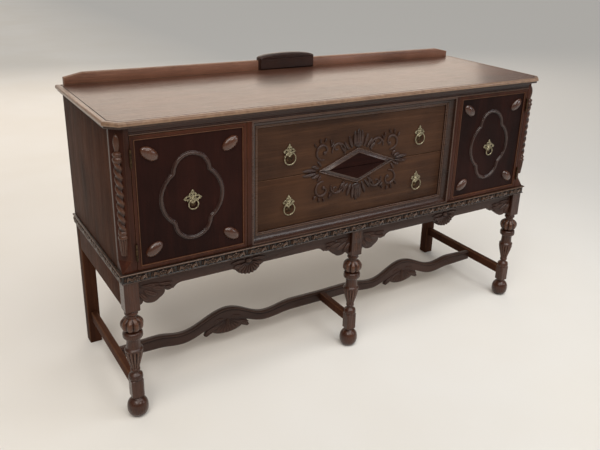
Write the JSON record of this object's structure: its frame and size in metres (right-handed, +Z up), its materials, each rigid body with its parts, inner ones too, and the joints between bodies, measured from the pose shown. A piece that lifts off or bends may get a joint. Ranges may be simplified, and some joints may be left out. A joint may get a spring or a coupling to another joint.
{
  "type": "sideboard buffet",
  "caption": "Low sideboard on turned legs with canted twist-column corners, a cupboard door at each end, drawers between them, ring pulls and a serpentine stretcher.",
  "frame": {"origin": "on the floor, under the middle of the top slab's outline", "axes": "+Z up, +X to the right of someone facing the front, the front faces -Y"},
  "size_m": [1.676, 0.546, 1],
  "materials": {
    "top_walnut": "glossy varnish over straight walnut grain",
    "case_walnut": "glossy red-brown varnish",
    "carved_walnut": "dark glazed carving with worn high spots",
    "door_panel": "very dark mahogany, glossy",
    "door_moulding": "red-brown varnish, rubbed edges",
    "drawer_walnut": "walnut veneer, satin varnish",
    "inner_wood": "plain unvarnished wood",
    "antique_brass": "aged brass, dark in the hollows"
  },
  "bodies": {
    "case": {"top_slab": "top_walnut", "gallery_rail": "case_walnut", "gallery_crest": "carved_walnut", "frieze_rail": "carved_walnut", "case_sides": "case_walnut", "case_back": "inner_wood", "case_bottom": "inner_wood", "partitions": "inner_wood", "corner_posts": "case_walnut", "corner_columns": "carved_walnut", "drawer_surround": "carved_walnut", "dust_frame": "inner_wood", "drawer_runners": "inner_wood", "shelves": "inner_wood", "inner_blocks": "inner_wood", "carved_moulding_front": "carved_walnut", "carved_moulding_sides": "carved_walnut", "leg_front_left": "carved_walnut", "leg_front_centre": "carved_walnut", "leg_front_right": "carved_walnut", "leg_back_left": "case_walnut", "leg_back_right": "case_walnut", "apron_front_left": "carved_walnut", "apron_front_right": "carved_walnut", "aprons_side": "case_walnut", "apron_back": "case_walnut", "stretchers_side": "case_walnut", "stretcher_long": "carved_walnut", "stretcher_centre": "case_walnut", "case_hinges": "antique_brass"},
    "door_left": {"door_left_slab": "door_panel", "door_left_rim": "door_moulding", "door_left_quatrefoil": "carved_walnut", "door_left_jewels": "door_moulding", "door_left_hinge_leaves": "antique_brass", "door_left_pull_plate": "antique_brass"},
    "door_right": {"door_right_slab": "door_panel", "door_right_rim": "door_moulding", "door_right_quatrefoil": "carved_walnut", "door_right_jewels": "door_moulding", "door_right_hinge_leaves": "antique_brass", "door_right_pull_plate": "antique_brass"},
    "upper_drawer": {"upper_drawer_front": "drawer_walnut", "upper_drawer_box": "inner_wood", "upper_drawer_diamond": "carved_walnut", "upper_drawer_scrolls": "carved_walnut", "upper_drawer_pull_plates": "antique_brass"},
    "lower_drawer": {"lower_drawer_front": "drawer_walnut", "lower_drawer_box": "inner_wood", "lower_drawer_diamond": "carved_walnut", "lower_drawer_scrolls": "carved_walnut", "lower_drawer_pull_plates": "antique_brass"},
    "door_left_ring": {"door_left_ring": "antique_brass"},
    "door_right_ring": {"door_right_ring": "antique_brass"},
    "upper_drawer_ring_left": {"upper_drawer_ring_left": "antique_brass"},
    "upper_drawer_ring_right": {"upper_drawer_ring_right": "antique_brass"},
    "lower_drawer_ring_left": {"lower_drawer_ring_left": "antique_brass"},
    "lower_drawer_ring_right": {"lower_drawer_ring_right": "antique_brass"}
  },
  "joints": [
    {"name": "door_left_hinge", "type": "hinge", "parent": "case", "child": "door_left", "pos_m": [-0.77325, -0.2595, 0.698], "axis": [0, 0, -1], "range_deg": [0, 110]},
    {"name": "door_right_hinge", "type": "hinge", "parent": "case", "child": "door_right", "pos_m": [0.77325, -0.2595, 0.698], "axis": [0, 0, 1], "range_deg": [0, 110]},
    {"name": "upper_drawer_slide", "type": "slide", "parent": "case", "child": "upper_drawer", "axis": [0, -1, 0], "range_m": [0, 0.33]},
    {"name": "lower_drawer_slide", "type": "slide", "parent": "case", "child": "lower_drawer", "axis": [0, -1, 0], "range_m": [0, 0.33]},
    {"name": "door_left_ring_swing", "type": "hinge", "parent": "door_left", "child": "door_left_ring", "pos_m": [-0.599, -0.2585, 0.68775], "axis": [-1, 0, 0], "range_deg": [0, 110]},
    {"name": "door_right_ring_swing", "type": "hinge", "parent": "door_right", "child": "door_right_ring", "pos_m": [0.599, -0.2585, 0.68775], "axis": [-1, 0, 0], "range_deg": [0, 110]},
    {"name": "upper_drawer_ring_left_swing", "type": "hinge", "parent": "upper_drawer", "child": "upper_drawer_ring_left", "pos_m": [-0.265, -0.2365, 0.7775], "axis": [-1, 0, 0], "range_deg": [0, 110]},
    {"name": "upper_drawer_ring_right_swing", "type": "hinge", "parent": "upper_drawer", "child": "upper_drawer_ring_right", "pos_m": [0.265, -0.2365, 0.7775], "axis": [-1, 0, 0], "range_deg": [0, 110]},
    {"name": "lower_drawer_ring_left_swing", "type": "hinge", "parent": "lower_drawer", "child": "lower_drawer_ring_left", "pos_m": [-0.265, -0.2365, 0.6075], "axis": [-1, 0, 0], "range_deg": [0, 110]},
    {"name": "lower_drawer_ring_right_swing", "type": "hinge", "parent": "lower_drawer", "child": "lower_drawer_ring_right", "pos_m": [0.265, -0.2365, 0.6075], "axis": [-1, 0, 0], "range_deg": [0, 110]}
  ]
}
